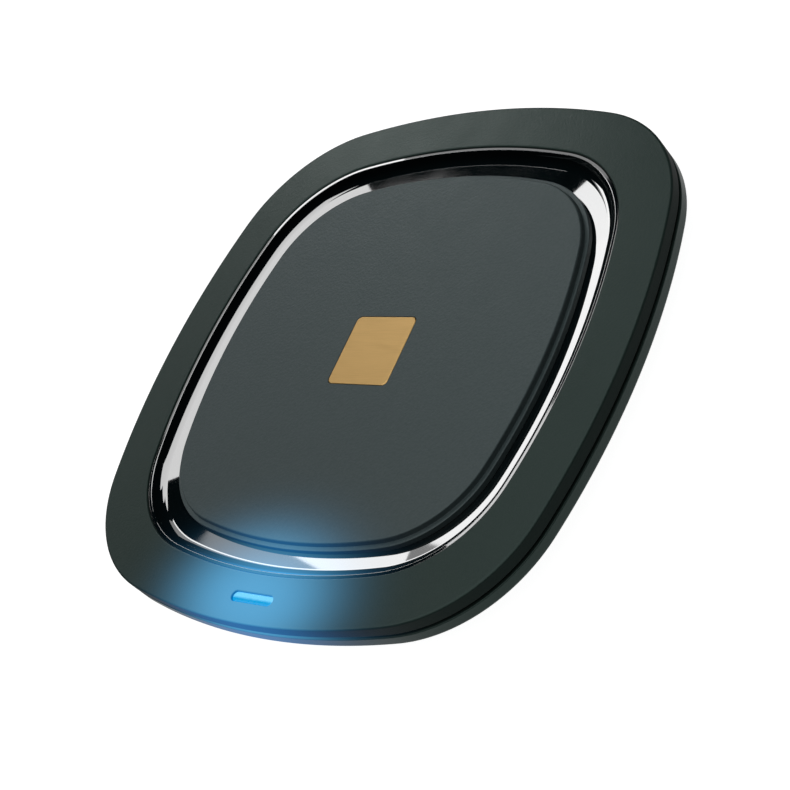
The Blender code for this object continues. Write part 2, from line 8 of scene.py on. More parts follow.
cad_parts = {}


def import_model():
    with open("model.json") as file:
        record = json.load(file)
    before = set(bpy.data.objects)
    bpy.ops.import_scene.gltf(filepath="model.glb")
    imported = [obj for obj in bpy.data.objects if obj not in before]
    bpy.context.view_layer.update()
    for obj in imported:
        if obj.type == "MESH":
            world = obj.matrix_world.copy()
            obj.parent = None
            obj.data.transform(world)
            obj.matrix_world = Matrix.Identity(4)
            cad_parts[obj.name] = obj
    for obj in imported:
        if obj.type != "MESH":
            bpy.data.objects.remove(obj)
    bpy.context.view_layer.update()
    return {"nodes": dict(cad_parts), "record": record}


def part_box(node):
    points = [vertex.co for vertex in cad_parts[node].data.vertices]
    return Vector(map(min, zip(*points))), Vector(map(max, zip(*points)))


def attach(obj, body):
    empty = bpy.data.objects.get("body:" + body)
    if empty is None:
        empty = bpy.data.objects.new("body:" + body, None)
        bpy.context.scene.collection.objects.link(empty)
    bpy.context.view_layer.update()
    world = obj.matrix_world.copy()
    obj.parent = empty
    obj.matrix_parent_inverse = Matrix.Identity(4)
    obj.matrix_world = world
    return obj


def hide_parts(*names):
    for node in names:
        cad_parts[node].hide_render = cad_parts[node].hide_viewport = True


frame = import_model()

# A wireless charging pad, lying on a white floor. The shells, the plate, the light window, the
# feet and the inlet are modelled again here with finer surfaces than the CAD solids have, and
# the pieces inside keep their CAD shape. Metres, +Z up, in the frame of the CAD model.

MM = 0.001

# The outline, for a half-width of 1: four wide side arcs, joined smoothly by four corner arcs.
SIDE_ARC = 2.51
DIAGONAL = 1.1314

# How finely it is drawn, and how much its points crowd at the corners.
STEPS = 288
CROWDING = 0.1

# How finely a rounding is drawn, and how close to it the flat beside it is held straight.
ARC_STEP = math.radians(9)
HOLD = 0.02 * MM

# Points that are nearer to each other than this are one, and an edge is sharp from this angle up.
WELD = 1e-7
SHARP_FROM = math.radians(40)

# Where a shape stands on the pad's own axis, and which number the Y axis has.
MIDDLE = (0.0, 0.0)
Y_AXIS = 1

# Heights and widths that the CAD pieces give.
HALF_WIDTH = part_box("rim_cover")[1].x
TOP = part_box("rim_cover")[1].z
SEAM_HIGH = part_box("rim_cover")[0].z
SEAM_LOW = SEAM_HIGH - 0.42 * MM
PLATE_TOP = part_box("centre_plate")[1].z
PLATE_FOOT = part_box("centre_plate")[0].z
BASE_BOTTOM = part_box("bottom_cover")[0].z
EMBLEM_SIZE = 2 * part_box("emblem_tile")[1].x
EMBLEM_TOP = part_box("emblem_tile")[1].z
EMBLEM_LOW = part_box("emblem_tile")[0].z
LABEL_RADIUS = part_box("rating_label")[1].x
LABEL_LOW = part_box("rating_label")[0].z
LABEL_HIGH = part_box("rating_label")[1].z
INLET_LOW, INLET_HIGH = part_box("usb_shell")
INLET_MIDDLE_Z = (INLET_LOW.z + INLET_HIGH.z) / 2
LIGHT_Y = (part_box("light_pipe")[0].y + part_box("light_pipe")[1].y) / 2
LIGHT_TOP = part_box("light_pipe")[1].z
LIGHT_PLACE = (0.0, LIGHT_Y)

# The top's section, from the rim inwards. Widths run from the centre to the middle of a side, and
# heights from the table up. The rim falls a little towards its outer edge, and the channel's floor
# rises outwards by its slope and turns up into the lip on an arc.
RIM_FALL = 0.13 * MM
RIM_INNER = 40.7 * MM
RIM_UNDERSIDE = 8.65 * MM
LIP = 40.64 * MM
LIP_INNER = 40.07 * MM
LIP_TOP = 9.74 * MM
CHANNEL_CORNER = 39.23 * MM
CHANNEL_TURN_UP = 2.0 * MM
CHANNEL_SLOPE = 0.12
CHANNEL_FLOOR = 7.85 * MM
LEDGE_REACH = 35.6 * MM
LEDGE_Z = 8.8 * MM
PLATE_WALL_FOOT = 34.9 * MM
PLATE_WALL_TOP = 34.77 * MM

# The thickness of the rim's side wall and of the gloss tray, and the gap between pieces that touch.
WALL = 1.8 * MM
CHANNEL_SHELL = 0.75 * MM
GAP = 0.1 * MM

# The other sizes and places: the status light's slot (length, width), the gold tile's round
# corners, the feet with the case screws over them, and the posts for the board's screws.
LIGHT_SLOT = (9.0 * MM, 1.8 * MM)
EMBLEM_CORNER = 1.0 * MM
FOOT_RADIUS = 5.0 * MM
CORNER_AT = 27.0 * MM
BOARD_SCREWS = ((37.0 * MM, 0.0), (-37.0 * MM, 0.0), (0.0, -36.0 * MM))

# The camera: where it stands round the pad, and what its picture's middle is aimed at.
AZIMUTH = math.radians(61.0)
ELEVATION = math.radians(38.64)
ROLL = math.radians(-45.74)
DISTANCE = 5.804 * HALF_WIDTH
AIM_RIGHT = 0.0764 * HALF_WIDTH
AIM_UP = -0.1463 * HALF_WIDTH
LENS_MM = 81.75
SENSOR_MM = 36.0

# The lights, laid out along the camera's bearing and across it. Each span is a share of FAR, which
# is the height of the overhead ones and the distance of the upright ones.
BEARING = AZIMUTH - math.pi / 2
TOWARD = Vector((math.cos(BEARING), math.sin(BEARING), 0.0))
ASIDE = Vector((-math.sin(BEARING), math.cos(BEARING), 0.0))
FAR = 8.0
OVERHEAD_ALONG, OVERHEAD_ACROSS = (-1.0, 1.25), (-0.9, 0.5)
KEY_ACROSS, KEY_UPWARD = (0.10, 0.26), (0.38, 0.62)
FILL_ACROSS, FILL_UPWARD = (-0.40, 0.10), (0.30, 0.62)
OVERHEAD, KEY, FILL = 1.02, 5.0, 0.75

# The gloss ring's own lights: the overhead ones' brightness and their spans along and across, and
# the upright ones as (name, span across, span upward, brightness).
GLOSS_OVERHEAD = 4.7
GLOSS_OVERHEADS = (
    ((-1.0875, -0.90), (-0.06, 0.30)),
    ((-0.90, -0.60), (-0.08, 0.60)),
    ((-0.60, -0.05), (-0.25, 1.00)),
)
GLOSS_UPRIGHTS = (
    ("gloss_low", (-0.30, 0.12), (0.44, 0.622), 6.4),
    ("gloss_high", (0.02, 0.12), (0.622, 0.803), 6.2),
    ("gloss_dim_left", (-0.30, 0.02), (0.622, 0.68), 1.4),
    ("gloss_dim_right", (0.12, 0.42), (0.44, 0.803), 1.4),
)

# The light that the white table throws up at the lower casing: its brightness, and how wide it is.
TABLE_GLOW, TABLE_GLOW_SIZE = 0.42, 0.6


# ---- Shapes ----


def outline_radius(angle):
    """The outline's distance from the centre at this angle, for a half-width of 1."""
    turn = angle % (math.pi / 2)
    turn = min(turn, math.pi / 2 - turn)
    side_centre = 1 - SIDE_ARC
    rest = SIDE_ARC - DIAGONAL
    corner_centre = (side_centre**2 - rest**2) / (2 * side_centre + 2 * math.sqrt(2) * rest)
    corner_arc = DIAGONAL - corner_centre * math.sqrt(2)
    lean = math.atan2(corner_centre, corner_centre - side_centre)
    meeting = math.atan2(SIDE_ARC * math.sin(lean), side_centre + SIDE_ARC * math.cos(lean))
    if turn < meeting:
        middle = side_centre * math.cos(turn)
        return middle + math.sqrt(middle**2 - side_centre**2 + SIDE_ARC**2)
    middle = corner_centre * (math.cos(turn) + math.sin(turn))
    return middle + math.sqrt(middle**2 - 2 * corner_centre**2 + corner_arc**2)


def on_outline(radius, height, angle):
    """A point on the pad's outline, drawn in to this radius. The points crowd at the corners."""
    angle += CROWDING * math.sin(4 * angle)
    radius *= outline_radius(angle)
    return Vector((radius * math.cos(angle), radius * math.sin(angle), height))


def rounded(corners):
    """A closed profile through corners of (radius, height, rounding), each rounding an arc.

    A flat is held straight by a point just beyond each arc, so that it is shaded flat.
    """
    points = []
    for index, (radius, height, rounding) in enumerate(corners):
        here = Vector((radius, height))
        if not rounding:
            points.append(here)
            continue
        before = (Vector(corners[index - 1][:2]) - here).normalized()
        after = (Vector(corners[(index + 1) % len(corners)][:2]) - here).normalized()
        half = before.angle(after) / 2
        reach = rounding / math.tan(half)
        centre = here + (before + after).normalized() * (rounding / math.sin(half))
        start = here + before * reach - centre
        end = here + after * reach - centre
        turn = math.copysign(math.pi - 2 * half, start.x * end.y - start.y * end.x)
        count = max(2, math.ceil(abs(turn) / ARC_STEP))
        points.append(centre + start + before * HOLD)
        for step in range(count + 1):
            points.append(centre + Matrix.Rotation(turn * step / count, 2) @ start)
        points.append(centre + end + after * HOLD)
    return [tuple(point) for point in points]


def turned(profile, steps=STEPS, squared=True):
    """A solid with this closed profile of (radius, height), round or with the pad's outline."""
    work = bmesh.new()
    rings = []
    for radius, height in profile:
        if radius < WELD:
            rings.append([work.verts.new((0.0, 0.0, height))] * steps)
            continue
        angles = [2 * math.pi * step / steps for step in range(steps)]
        if squared:
            places = [on_outline(radius, height, angle) for angle in angles]
        else:
            places = [(radius * math.cos(angle), radius * math.sin(angle), height) for angle in angles]
        rings.append([work.verts.new(place) for place in places])
    for index, ring in enumerate(rings):
        before = rings[index - 1]
        for step in range(steps):
            after = (step + 1) % steps
            outline = dict.fromkeys((before[step], before[after], ring[after], ring[step]))
            if len(outline) > 2:
                work.faces.new(outline)
    return mesh_from(work)


def round_solid(profile, steps=32):
    """A solid of revolution with this closed profile of (radius, height)."""
    return turned(profile, steps, squared=False)


def disc(radius, low, high, steps=32):
    """A round disc between these heights."""
    return round_solid([(0, low), (radius, low), (radius, high), (0, high)], steps)


def mesh_from(work):
    """A mesh of this bmesh, with its faces turned outwards."""
    bmesh.ops.recalc_face_normals(work, faces=work.faces)
    mesh = bpy.data.meshes.new("shape")
    work.to_mesh(mesh)
    work.free()
    return mesh


def runs_along(edge, axis):
    """Whether an edge is parallel to this axis. Without an axis, every edge counts."""
    if axis is None:
        return True
    first, second = edge.verts
    return math.isclose(abs((first.co - second.co).normalized()[axis]), 1.0, abs_tol=0.01)


def block(size, centre, rounding=0.0, segments=3, edges_along=None):
    """A box of this size about its centre. Its edges along one axis, or all of them, are rounded."""
    work = bmesh.new()
    bmesh.ops.create_cube(work, size=1.0, matrix=Matrix.Diagonal((*size, 1.0)))
    if rounding:
        chosen = [edge for edge in work.edges if runs_along(edge, edges_along)]
        bmesh.ops.bevel(
            work, geom=chosen, offset=rounding, segments=segments, profile=0.5, affect="EDGES"
        )
    bmesh.ops.translate(work, vec=centre, verts=work.verts)
    return mesh_from(work)


def pocket(size, y, low):
    """A box-shaped pocket across the middle plane, from this height up."""
    return block(size, (0.0, y, low + size[2] / 2))


def lofted(stations, centre=MIDDLE, segments=10):
    """An upright solid whose outline is a rectangle with round corners.

    The stations, from low to high, are (half length, half width, corner radius, height).
    """
    work = bmesh.new()
    loops = []
    for half_x, half_y, radius, height in stations:
        loop = []
        for quarter, (side_x, side_y) in enumerate(((1, 1), (-1, 1), (-1, -1), (1, -1))):
            for step in range(segments + 1):
                angle = math.pi / 2 * (quarter + step / segments)
                x = centre[0] + side_x * (half_x - radius) + radius * math.cos(angle)
                y = centre[1] + side_y * (half_y - radius) + radius * math.sin(angle)
                loop.append(work.verts.new((x, y, height)))
        loops.append(loop)
    for lower, upper in zip(loops, loops[1:]):
        for index, vert in enumerate(lower):
            after = (index + 1) % len(lower)
            work.faces.new((vert, lower[after], upper[after], upper[index]))
    work.faces.new(loops[-1])
    work.faces.new(reversed(loops[0]))
    bmesh.ops.remove_doubles(work, verts=work.verts, dist=WELD)
    return mesh_from(work)


def pill(length, stations, centre=MIDDLE):
    """An upright piece with round ends. The stations are (half width, height), from low to high.

    The length is that of the widest one.
    """
    straight = length / 2 - max(half for half, _ in stations)
    return lofted([(straight + half, half, half, height) for half, height in stations], centre)


def tile(size, corner, stations):
    """A square tile with round corners. The stations are (inset, height), from low to high."""
    return lofted(
        [(size / 2 - inset, size / 2 - inset, corner - inset, height) for inset, height in stations]
    )


def shape_object(mesh, at=MIDDLE):
    """A shape that is joined to a piece or cut from it, and then removed."""
    obj = bpy.data.objects.new("shape", mesh)
    obj.location = (*at, 0.0)
    bpy.context.scene.collection.objects.link(obj)
    return obj


def combined(mesh, joined=(), removed=()):
    """The mesh with some shapes joined to it, and then others cut from it. Each is (mesh, place)."""
    base = shape_object(mesh)
    helpers = []
    for operation, shapes in (("UNION", joined), ("DIFFERENCE", removed)):
        for shape, place in shapes:
            tool = shape_object(shape, place)
            helpers.append(tool)
            modifier = base.modifiers.new("join or cut", "BOOLEAN")
            modifier.operation = operation
            modifier.object = tool
            modifier.solver = "EXACT"
    bpy.context.view_layer.update()
    evaluated = base.evaluated_get(bpy.context.evaluated_depsgraph_get())
    result = bpy.data.meshes.new_from_object(evaluated)
    for obj in (base, *helpers):
        bpy.data.objects.remove(obj)
    return result


def piece(name, mesh, material, slot, *nodes, at=MIDDLE):
    """A finished piece that rides on the pad and stands for these CAD nodes."""
    mesh.materials.clear()
    mesh.materials.append(material)
    mesh.shade_smooth()
    mesh.set_sharp_from_angle(angle=SHARP_FROM)
    obj = bpy.data.objects.new(name, mesh)
    obj.location = (*at, 0.0)
    bpy.context.scene.collection.objects.link(obj)
    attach(obj, "root")
    if nodes:
        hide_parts(*nodes)
    return obj


def corners():
    """The four places on the diagonals where a foot covers a case screw."""
    return [(x * CORNER_AT, y * CORNER_AT) for x, y in ((1, 1), (-1, 1), (-1, -1), (1, -1))]


# ---- Materials ----


def add_node(tree, kind, inputs=(), **settings):
    """A new node. An input takes a value, or a link from another node's output."""
    node = tree.nodes.new(kind)
    for name, value in settings.items():
        setattr(node, name, value)
    for name, value in dict(inputs).items():
        if isinstance(value, bpy.types.NodeSocket):
            tree.links.new(value, node.inputs[name])
        else:
            node.inputs[name].default_value = value
    return node


def coordinates(tree, stretch=(1.0, 1.0, 1.0), turn=0.0):
    """The place on the piece, in metres, stretched and turned about Z."""
    place = add_node(tree, "ShaderNodeTexCoord").outputs["Object"]
    mapping = add_node(
        tree, "ShaderNodeMapping", {"Vector": place, "Scale": stretch, "Rotation": (0.0, 0.0, turn)}
    )
    return mapping.outputs["Vector"]


def noise(tree, size, detail=2.0, stretch=(1.0, 1.0, 1.0)):
    """Noise from 0 to 1 whose blotches have this size in metres."""
    found = add_node(
        tree,
        "ShaderNodeTexNoise",
        {"Vector": coordinates(tree, stretch), "Scale": 1 / size, "Detail": detail},
    )
    return found.outputs["Fac"]


def stripes(tree, size, turn=0.0, distortion=0.0):
    """Stripes from 0 to 1, turned about Z. They repeat at about 0.31 of this size in metres."""
    found = add_node(
        tree,
        "ShaderNodeTexWave",
        {"Vector": coordinates(tree, turn=turn), "Scale": 1 / size, "Distortion": distortion},
    )
    return found.outputs["Fac"]


def between(tree, factor, low, high, start=0.3, end=0.7):
    """A number that runs from low to high as the factor goes from start to end."""
    found = add_node(
        tree,
        "ShaderNodeMapRange",
        {"Value": factor, "From Min": start, "From Max": end, "To Min": low, "To Max": high},
    )
    return found.outputs["Result"]


def colour_between(tree, factor, low, high):
    """A colour that runs from low to high as the factor goes from 0 to 1."""
    found = add_node(
        tree,
        "ShaderNodeMix",
        {"Factor": factor, "A": (*low, 1.0), "B": (*high, 1.0)},
        data_type="RGBA",
    )
    return found.outputs["Result"]


def math_node(tree, operation, first, second=0.0):
    """The result of this operation on two numbers or outputs."""
    return add_node(tree, "ShaderNodeMath", {0: first, 1: second}, operation=operation).outputs["Value"]


def vector_node(tree, operation, first, second=(0.0, 0.0, 0.0)):
    """The node with the result of this operation on two vectors or outputs."""
    return add_node(tree, "ShaderNodeVectorMath", {0: first, 1: second}, operation=operation)


def new_material(name, roughness=0.5, metallic=0.0, specular=0.5, ior=1.5):
    """A Principled material with these plain values. Returns it, its nodes and its shader."""
    material = bpy.data.materials.new(name)
    material.use_nodes = True
    tree = material.node_tree
    shader = tree.nodes["Principled BSDF"]
    shader.inputs["Roughness"].default_value = roughness
    shader.inputs["Metallic"].default_value = metallic
    shader.inputs["Specular IOR Level"].default_value = specular
    shader.inputs["IOR"].default_value = ior
    return material, tree, shader


def set_colour(tree, shader, factor, low, high):
    """Gives the shader a base colour between these two."""
    tree.links.new(colour_between(tree, factor, low, high), shader.inputs["Base Color"])


def set_roughness(tree, shader, factor, low, high):
    """Gives the shader a roughness between these two."""
    tree.links.new(between(tree, factor, low, high), shader.inputs["Roughness"])


def set_bump(tree, shader, height, depth, strength):
    """Gives the shader a bump of this depth in metres."""
    found = add_node(
        tree, "ShaderNodeBump", {"Height": height, "Distance": depth, "Strength": strength}
    )
    tree.links.new(found.outputs["Normal"], shader.inputs["Normal"])


# The status light's halo, a pool of blue light painted as emission on the surfaces round it: its reach
# along the rim and across it, and how steeply it fades.
PAINTED_HALO_ALONG, PAINTED_HALO_ACROSS = 15.7 * MM, 11.0 * MM
PAINTED_HALO_POWER = 2.6
# The painted halo's colours: lighter blue on faces that point up, deeper blue on upright walls.
PAINTED_HALO_TOP_COLOUR = (0.13, 0.56, 1.0)
PAINTED_HALO_WALL_COLOUR = (0.0, 0.21, 0.62)


def painted_light_halo(tree, shader, strength):
    """A pool of blue light painted as emission, spreading from the status light over the surfaces
    beside it.
    """
    place = add_node(tree, "ShaderNodeTexCoord").outputs["Object"]
    reach = (PAINTED_HALO_ALONG, PAINTED_HALO_ACROSS, PAINTED_HALO_ACROSS)
    offset = vector_node(tree, "SUBTRACT", place, (*LIGHT_PLACE, TOP)).outputs["Vector"]
    scaled = vector_node(tree, "DIVIDE", offset, reach).outputs["Vector"]
    distance = vector_node(tree, "LENGTH", scaled).outputs["Value"]
    steep = math_node(tree, "POWER", distance, PAINTED_HALO_POWER)
    painted_halo_mask = math_node(tree, "EXPONENT", math_node(tree, "MULTIPLY", steep, -1.0))
    # The painted glow is lighter blue on upward faces and deeper blue on upright walls.
    normal = add_node(tree, "ShaderNodeNewGeometry").outputs["Normal"]
    upward = add_node(tree, "ShaderNodeSeparateXYZ", {"Vector": normal}).outputs["Z"]
    facing = between(tree, upward, 0.0, 1.0, start=0.2, end=0.9)
    colour = colour_between(tree, facing, PAINTED_HALO_WALL_COLOUR, PAINTED_HALO_TOP_COLOUR)
    tree.links.new(colour, shader.inputs["Emission Color"])
    tree.links.new(math_node(tree, "MULTIPLY", painted_halo_mask, strength), shader.inputs["Emission Strength"])


def matte_black():
    """Spark-eroded black plastic, with a green cast."""
    material, tree, shader = new_material("matte_black_plastic", specular=0.4)
    grain = noise(tree, 0.30 * MM, detail=3.0)
    set_colour(tree, shader, grain, (0.015, 0.028, 0.024), (0.022, 0.036, 0.032))
    set_roughness(tree, shader, noise(tree, 6 * MM), 0.30, 0.35)
    set_bump(tree, shader, noise(tree, 0.42 * MM, detail=4.0), 0.030 * MM, 0.8)
    shader.inputs["Specular Tint"].default_value = (0.72, 1.0, 0.92, 1.0)
    # A painted blue glow round the status light.
    painted_light_halo(tree, shader, 0.62)
    return material


def gloss_black():
    """Polished black plastic."""
    material, tree, shader = new_material("gloss_black_plastic", ior=2.0)
    set_colour(tree, shader, noise(tree, 3 * MM), (0.0005, 0.0020, 0.0025), (0.0008, 0.0028, 0.0034))
    set_roughness(tree, shader, noise(tree, 9 * MM, detail=4.0), 0.015, 0.03)
    # A painted blue glow round the status light.
    painted_light_halo(tree, shader, 0.55)
    return material


def soft_black():
    """The plate's fine matte coating."""
    material, tree, shader = new_material("soft_touch_coating", specular=0.6)
    grain = noise(tree, 0.45 * MM, detail=5.0)
    set_colour(tree, shader, grain, (0.030, 0.046, 0.047), (0.054, 0.073, 0.076))
    set_roughness(tree, shader, noise(tree, 5 * MM), 0.37, 0.42)
    set_bump(tree, shader, noise(tree, 0.45 * MM, detail=4.0), 0.045 * MM, 0.9)
    shader.inputs["Specular Tint"].default_value = (0.82, 1.0, 1.0, 1.0)
    # A painted blue glow round the status light.
    painted_light_halo(tree, shader, 0.62)
    return material


def gold_foil():
    """Satin gold metal, brushed along X."""
    material, tree, shader = new_material("gold_foil", metallic=1.0)
    brushed = noise(tree, 0.12 * MM, detail=4.0, stretch=(0.03, 1.0, 1.0))
    set_colour(tree, shader, brushed, (0.68, 0.43, 0.16), (0.82, 0.54, 0.22))
    set_roughness(tree, shader, brushed, 0.32, 0.42)
    set_bump(tree, shader, brushed, 0.004 * MM, 0.4)
    return material


def dark_rubber():
    """Matte rubber with a fine grain."""
    material, tree, shader = new_material("dark_rubber", specular=0.3)
    mottle = noise(tree, 1.5 * MM, detail=4.0)
    set_colour(tree, shader, mottle, (0.016, 0.016, 0.016), (0.028, 0.028, 0.027))
    set_roughness(tree, shader, noise(tree, 2 * MM), 0.78, 0.92)
    set_bump(tree, shader, noise(tree, 0.15 * MM, detail=3.0), 0.02 * MM, 0.5)
    return material


def zinc_steel():
    """Zinc-plated steel, rolled along Y."""
    material, tree, shader = new_material("zinc_plated_steel", metallic=1.0)
    rolled = noise(tree, 0.08 * MM, detail=4.0, stretch=(1.0, 0.05, 1.0))
    set_colour(tree, shader, noise(tree, 1.2 * MM, detail=3.0), (0.52, 0.52, 0.50), (0.66, 0.66, 0.65))
    set_roughness(tree, shader, rolled, 0.26, 0.42)
    set_bump(tree, shader, rolled, 0.003 * MM, 0.4)
    return material


def clear_blue():
    """The light window, lit from below, with a painted highlight: lighter along its inner half than
    along its outer half.
    """
    material, tree, shader = new_material("blue_light_pipe", roughness=0.2)
    place = add_node(tree, "ShaderNodeTexCoord").outputs["Object"]
    across = add_node(tree, "ShaderNodeSeparateXYZ", {"Vector": place}).outputs["Y"]
    sway = 0.03 * MM
    cloud = between(tree, noise(tree, 0.8 * MM), -sway, sway)
    wavy = math_node(tree, "ADD", across, cloud)
    # The lighter inner half is a painted highlight, in the base colour and the glow alike.
    outer_edge, inner_edge = LIGHT_Y - 0.25 * MM, LIGHT_Y + 0.15 * MM
    painted_highlight = between(tree, wavy, 0.0, 1.0, outer_edge, inner_edge)
    colour = colour_between(tree, painted_highlight, (0.0, 0.32, 0.66), (0.17, 0.62, 0.93))
    tree.links.new(colour, shader.inputs["Base Color"])
    tree.links.new(colour, shader.inputs["Emission Color"])
    shader.inputs["Emission Strength"].default_value = 0.62
    return material


def led_resin():
    """The status light's pale cast resin."""
    material, tree, shader = new_material("led_resin")
    set_colour(tree, shader, noise(tree, 0.5 * MM), (0.72, 0.70, 0.52), (0.80, 0.80, 0.72))
    set_roughness(tree, shader, noise(tree, 0.7 * MM), 0.25, 0.38)
    return material


def label_film():
    """The label's dark satin film."""
    material, tree, shader = new_material("label_film")
    set_colour(tree, shader, noise(tree, 2 * MM, detail=3.0), (0.105, 0.108, 0.11), (0.13, 0.13, 0.13))
    set_roughness(tree, shader, noise(tree, 3 * MM), 0.44, 0.54)
    set_bump(tree, shader, noise(tree, 0.3 * MM, detail=3.0), 0.004 * MM, 0.5)
    return material


def board_laminate():
    """Green solder mask over copper tracks, which are the mortar of bricks of 3 by 1.5 mm."""
    material, tree, shader = new_material("circuit_board")
    tracks = add_node(
        tree,
        "ShaderNodeTexBrick",
        {"Vector": coordinates(tree), "Scale": 1 / (6 * MM), "Mortar Size": 0.03},
    ).outputs["Fac"]
    set_colour(tree, shader, tracks, (0.012, 0.085, 0.040), (0.030, 0.150, 0.070))
    set_roughness(tree, shader, noise(tree, 2 * MM), 0.30, 0.42)
    set_bump(tree, shader, tracks, 0.03 * MM, 0.5)
    return material


def chip_resin():
    """The black moulded resin of the chips."""
    material, tree, shader = new_material("chip_resin")
    mottle = noise(tree, 0.4 * MM, detail=3.0)
    set_colour(tree, shader, mottle, (0.014, 0.014, 0.015), (0.028, 0.028, 0.028))
    set_roughness(tree, shader, noise(tree, 1 * MM), 0.45, 0.60)
    set_bump(tree, shader, noise(tree, 0.12 * MM, detail=3.0), 0.01 * MM, 0.5)
    return material


def capacitor_ceramic():
    """Fired brown ceramic."""
    material, tree, shader = new_material("capacitor_ceramic")
    set_colour(tree, shader, noise(tree, 0.5 * MM, detail=4.0), (0.36, 0.23, 0.13), (0.47, 0.32, 0.19))
    set_roughness(tree, shader, noise(tree, 0.6 * MM), 0.42, 0.56)
    return material


def litz_copper():
    """Enamelled copper strands laid slantwise along the wire."""
    material, tree, shader = new_material("litz_copper", metallic=1.0)
    strands = stripes(tree, 1.4 * MM, turn=0.6, distortion=0.6)
    set_colour(tree, shader, strands, (0.52, 0.22, 0.09), (0.80, 0.42, 0.20))
    set_roughness(tree, shader, noise(tree, 1 * MM), 0.28, 0.42)
    set_bump(tree, shader, strands, 0.03 * MM, 0.6)
    return material


def ferrite_grey():
    """Sintered grey ferrite."""
    material, tree, shader = new_material("ferrite")
    mottle = noise(tree, 0.4 * MM, detail=5.0)
    set_colour(tree, shader, mottle, (0.045, 0.045, 0.050), (0.075, 0.074, 0.078))
    set_roughness(tree, shader, noise(tree, 1 * MM), 0.50, 0.68)
    set_bump(tree, shader, noise(tree, 0.2 * MM, detail=4.0), 0.02 * MM, 0.5)
    return material


def flex_film():
    """Amber film with its tracks showing through as stripes."""
    material, tree, shader = new_material("polyimide_film")
    tracks = stripes(tree, 6 * MM)
    set_colour(tree, shader, tracks, (0.42, 0.20, 0.035), (0.62, 0.33, 0.07))
    set_roughness(tree, shader, noise(tree, 1 * MM), 0.28, 0.42)
    return material


# ---- Pieces ----


def rim_cover(material):
    """The matte top casing: a flat rim with a side wall, open in the middle."""
    seam_rounding, shoulder_rounding, inner_rounding = 0.55 * MM, 0.35 * MM, 0.3 * MM
    wall_inner = HALF_WIDTH - WALL
    profile = rounded(
        [
            (HALF_WIDTH, SEAM_HIGH, seam_rounding),
            (HALF_WIDTH, TOP - RIM_FALL, shoulder_rounding),
            (RIM_INNER, TOP, inner_rounding),
            (RIM_INNER, RIM_UNDERSIDE, 0.0),
            (wall_inner, RIM_UNDERSIDE, 0.0),
            (wall_inner, SEAM_HIGH, 0.0),
        ]
    )
    mesh = combined(turned(profile), removed=[(light_slot(), MIDDLE), (inlet_hole(), MIDDLE)])
    return piece("rim_cover_shell", mesh, material, "matte_black_plastic", "rim_cover")


def light_slot():
    """The slot for the light window, with its upper edge flared."""
    length, width = LIGHT_SLOT
    half, flare = width / 2, 0.08 * MM
    mouth = TOP - RIM_FALL / 2
    stations = [
        (half, RIM_UNDERSIDE - MM),
        (half, mouth - flare),
        (half + flare, mouth),
        (half + 2 * flare, mouth + flare),
    ]
    return pill(length + 4 * flare, stations, LIGHT_PLACE)


def inlet_hole():
    """The opening that the plug passes through, across the seam of the casing."""
    width, depth, height = 8.2 * MM, 6.0 * MM, 3.1 * MM
    past_wall, rounding = 2.0 * MM, 0.8 * MM
    centre = (0.0, HALF_WIDTH + past_wall - depth / 2, INLET_MIDDLE_Z)
    return block((width, depth, height), centre, rounding, segments=6, edges_along=Y_AXIS)


def floor_height(radius):
    """The height of the gloss channel's floor at this distance from the centre."""
    return CHANNEL_FLOOR + (radius - LEDGE_REACH) * CHANNEL_SLOPE


def gloss_channel(material):
    """The gloss tray that shows as a sunken ring, with four bosses for the case screws."""
    opening, flange = 31.5 * MM, 42.6 * MM
    seat_wall = LEDGE_REACH + GAP / 2
    seat_floor = PLATE_FOOT - GAP
    flange_top = RIM_UNDERSIDE - GAP
    underside = seat_floor - CHANNEL_SHELL
    lip_inner_rounding, lip_outer_rounding = 0.2 * MM, 0.08 * MM
    profile = rounded(
        [
            (opening, underside, 0.0),
            (opening, seat_floor, 0.0),
            (seat_wall, seat_floor, 0.0),
            (seat_wall, floor_height(seat_wall), 0.0),
            (CHANNEL_CORNER, floor_height(CHANNEL_CORNER), CHANNEL_TURN_UP),
            (LIP_INNER, LIP_TOP, lip_inner_rounding),
            (LIP, LIP_TOP, lip_outer_rounding),
            (LIP, flange_top, 0.0),
            (flange, flange_top, 0.0),
            (flange, flange_top - CHANNEL_SHELL, 0.0),
        ]
    )
    boss = screw_boss(underside)
    mesh = combined(
        turned(profile),
        joined=[(boss, place) for place in corners()],
        removed=[(inlet_room(), MIDDLE)],
    )
    return piece("gloss_channel_tray", mesh, material, "gloss_black_plastic", "gloss_channel")


def screw_boss(underside):
    """A boss below the tray's underside, with a blind bore for a case screw."""
    radius, bore, low = 2.6 * MM, 1.2 * MM, 3.7 * MM
    high = underside + 0.4 * MM
    return round_solid(
        [(bore, low), (radius, low), (radius, high), (0, high), (0, underside), (bore, underside)]
    )


def inlet_room():
    """The room that the tray leaves for the power inlet."""
    clearance, depth, height = 0.3 * MM, 6.0 * MM, 3.0 * MM
    width = INLET_HIGH.x - INLET_LOW.x + 2 * clearance
    middle_y, below_middle = 44.0 * MM, 1.0 * MM
    return pocket((width, depth, height), middle_y, INLET_MIDDLE_Z - below_middle)


